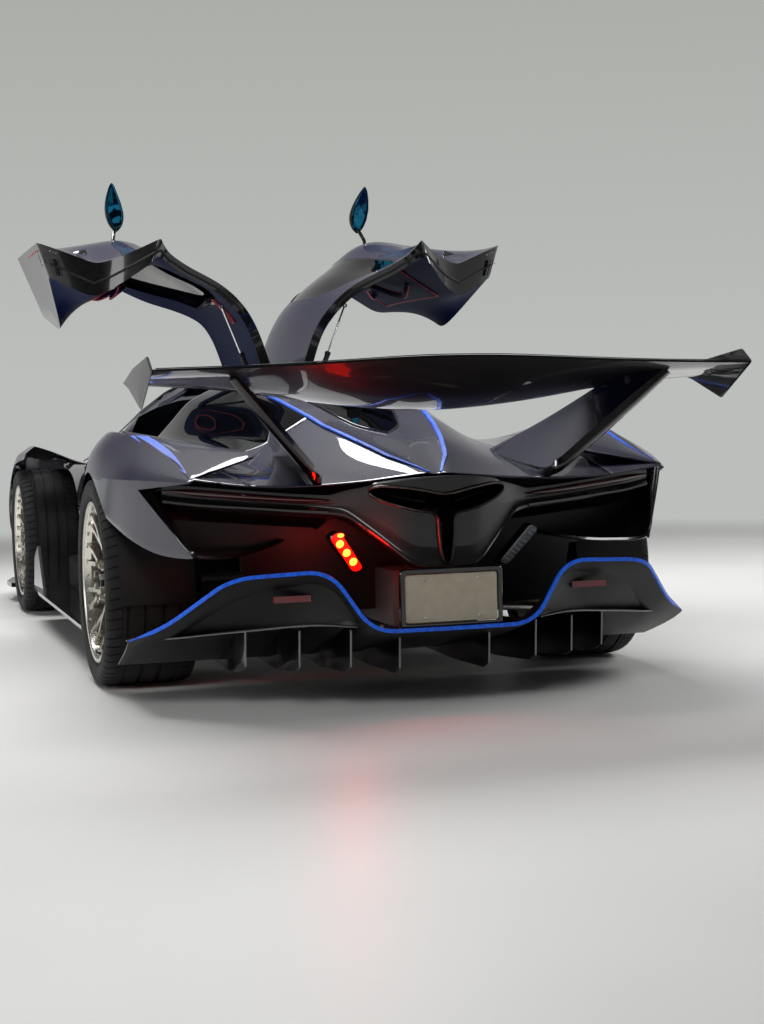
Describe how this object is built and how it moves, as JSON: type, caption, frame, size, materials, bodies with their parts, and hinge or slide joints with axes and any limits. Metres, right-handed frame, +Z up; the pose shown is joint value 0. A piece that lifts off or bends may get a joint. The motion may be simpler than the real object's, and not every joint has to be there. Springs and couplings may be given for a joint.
{
  "type": "mid-engined hypercar with roof-hinged doors",
  "caption": "Low mid-engined hypercar with roof-hinged doors standing open, tall rear wing on leaning fins, star outlet and wide diffuser.",
  "frame": {"origin": "on the ground, under the middle of the overall length, on the centre plane", "axes": "+Z up, +Y towards the car's tail, +X towards the car's left"},
  "size_m": [2.0092, 5.066, 1.9851],
  "materials": {
    "body_paint": "gloss clear coat",
    "carbon_fibre": "gloss lacquer over twill carbon",
    "edge_paint": "gloss",
    "window_glass": "smoked",
    "lamp_lens": "clear",
    "red_lens": "gloss",
    "forged_alloy": "satin, machined",
    "tyre_rubber": "matte",
    "machined_alloy": "satin",
    "cast_alloy": "cast, dark",
    "strut_tube": "satin black",
    "strut_chrome": "polished",
    "seat_leather": "fine grain",
    "dash_suede": "suede",
    "exhaust_steel": "heat tinted",
    "plate_sheet": "blank, painted"
  },
  "bodies": {
    "chassis": {"dashboard": "dash_suede", "diffuser": "carbon_fibre", "diffuser_edge": "edge_paint", "engine": "cast_alloy", "engine_cover": "body_paint", "exhaust": "exhaust_steel", "front_clam": "body_paint", "front_splitter": "carbon_fibre", "front_suspension": "machined_alloy", "headlamps": "lamp_lens", "number_plate": "plate_sheet", "rear_clam": "body_paint", "rear_suspension": "machined_alloy", "roof_scoop": "carbon_fibre", "roof_spine": "carbon_fibre", "seats": "seat_leather", "side_pods": "body_paint", "side_skirts": "carbon_fibre", "tail_lights": "red_lens", "tail_panel": "carbon_fibre", "tub": "carbon_fibre", "windscreen": "window_glass", "wing": "carbon_fibre", "wing_endplates": "carbon_fibre", "wing_pylons": "carbon_fibre"},
    "left_door": {"door_left": "body_paint", "door_trim_left": "seat_leather", "door_window_left": "window_glass", "mirror_left": "carbon_fibre"},
    "right_door": {"door_right": "body_paint", "door_trim_right": "seat_leather", "door_window_right": "window_glass", "mirror_right": "carbon_fibre"},
    "left_knuckle": {"knuckle_front_left": "machined_alloy"},
    "right_knuckle": {"knuckle_front_right": "machined_alloy"},
    "rack": {"steering_rack": "machined_alloy"},
    "steering": {"steering_wheel": "dash_suede"},
    "left_strut_tube": {"strut_cylinder_left": "strut_tube"},
    "right_strut_tube": {"strut_cylinder_right": "strut_tube"},
    "left_strut_rod": {"strut_rod_left": "strut_chrome"},
    "right_strut_rod": {"strut_rod_right": "strut_chrome"},
    "front_left_wheel": {"tyre_front_left": "tyre_rubber", "wheel_front_left": "forged_alloy"},
    "front_right_wheel": {"tyre_front_right": "tyre_rubber", "wheel_front_right": "forged_alloy"},
    "rear_left_wheel": {"tyre_rear_left": "tyre_rubber", "wheel_rear_left": "forged_alloy"},
    "rear_right_wheel": {"tyre_rear_right": "tyre_rubber", "wheel_rear_right": "forged_alloy"}
  },
  "joints": [
    {"name": "left_door_hinge", "type": "hinge", "parent": "chassis", "child": "left_door", "pos_m": [0.05, 0, 1.1], "axis": [0, 1, 0], "range_deg": [0, 75]},
    {"name": "left_strut_swing", "type": "hinge", "parent": "chassis", "child": "left_strut_tube", "pos_m": [0.104, 0.268, 0.978], "axis": [0, 1, 0], "range_deg": [0, 71.31]},
    {"name": "left_strut_stroke", "type": "slide", "parent": "left_strut_tube", "child": "left_strut_rod", "axis": [0.3673, 0, 0.9301], "range_m": [-0.1613, 0]},
    {"name": "left_steer", "type": "hinge", "parent": "chassis", "child": "left_knuckle", "pos_m": [0.752, -1.357, 0.347], "axis": [0, 0, 1], "range_deg": [-28, 28]},
    {"name": "front_left_spin", "type": "hinge", "parent": "left_knuckle", "child": "front_left_wheel", "pos_m": [0.835, -1.357, 0.347], "axis": [1, 0, 0], "continuous": true},
    {"name": "rear_left_spin", "type": "hinge", "parent": "chassis", "child": "rear_left_wheel", "pos_m": [0.825, 1.343, 0.364], "axis": [1, 0, 0], "continuous": true},
    {"name": "right_door_hinge", "type": "hinge", "parent": "chassis", "child": "right_door", "pos_m": [-0.05, 0, 1.1], "axis": [0, -1, 0], "range_deg": [0, 75]},
    {"name": "right_strut_swing", "type": "hinge", "parent": "chassis", "child": "right_strut_tube", "pos_m": [-0.104, 0.268, 0.978], "axis": [0, -1, 0], "range_deg": [0, 71.31]},
    {"name": "right_strut_stroke", "type": "slide", "parent": "right_strut_tube", "child": "right_strut_rod", "axis": [-0.3673, 0, 0.9301], "range_m": [-0.1613, 0]},
    {"name": "right_steer", "type": "hinge", "parent": "chassis", "child": "right_knuckle", "pos_m": [-0.752, -1.357, 0.347], "axis": [0, 0, 1], "range_deg": [-28, 28]},
    {"name": "front_right_spin", "type": "hinge", "parent": "right_knuckle", "child": "front_right_wheel", "pos_m": [-0.835, -1.357, 0.347], "axis": [1, 0, 0], "continuous": true},
    {"name": "rear_right_spin", "type": "hinge", "parent": "chassis", "child": "rear_right_wheel", "pos_m": [-0.825, 1.343, 0.364], "axis": [1, 0, 0], "continuous": true},
    {"name": "rack_travel", "type": "slide", "parent": "chassis", "child": "rack", "axis": [1, 0, 0], "range_m": [-0.056, 0.056]},
    {"name": "steering_wheel_turn", "type": "hinge", "parent": "chassis", "child": "steering", "pos_m": [0.237, -0.42, 0.655], "axis": [0, 0.9272, 0.3746], "range_deg": [-270, 270]}
  ],
  "couplings": [
    {"joint": "left_strut_swing", "follows": "left_door_hinge", "ratio": 0.94541},
    {"joint": "left_strut_stroke", "follows": "left_door_hinge", "m_per_rad": -0.1226},
    {"joint": "right_strut_swing", "follows": "right_door_hinge", "ratio": 0.94541},
    {"joint": "right_strut_stroke", "follows": "right_door_hinge", "m_per_rad": -0.1226},
    {"joint": "right_steer", "follows": "left_steer", "ratio": 1},
    {"joint": "rack_travel", "follows": "left_steer", "m_per_rad": 0.11336},
    {"joint": "steering_wheel_turn", "follows": "left_steer", "ratio": 9.5}
  ]
}
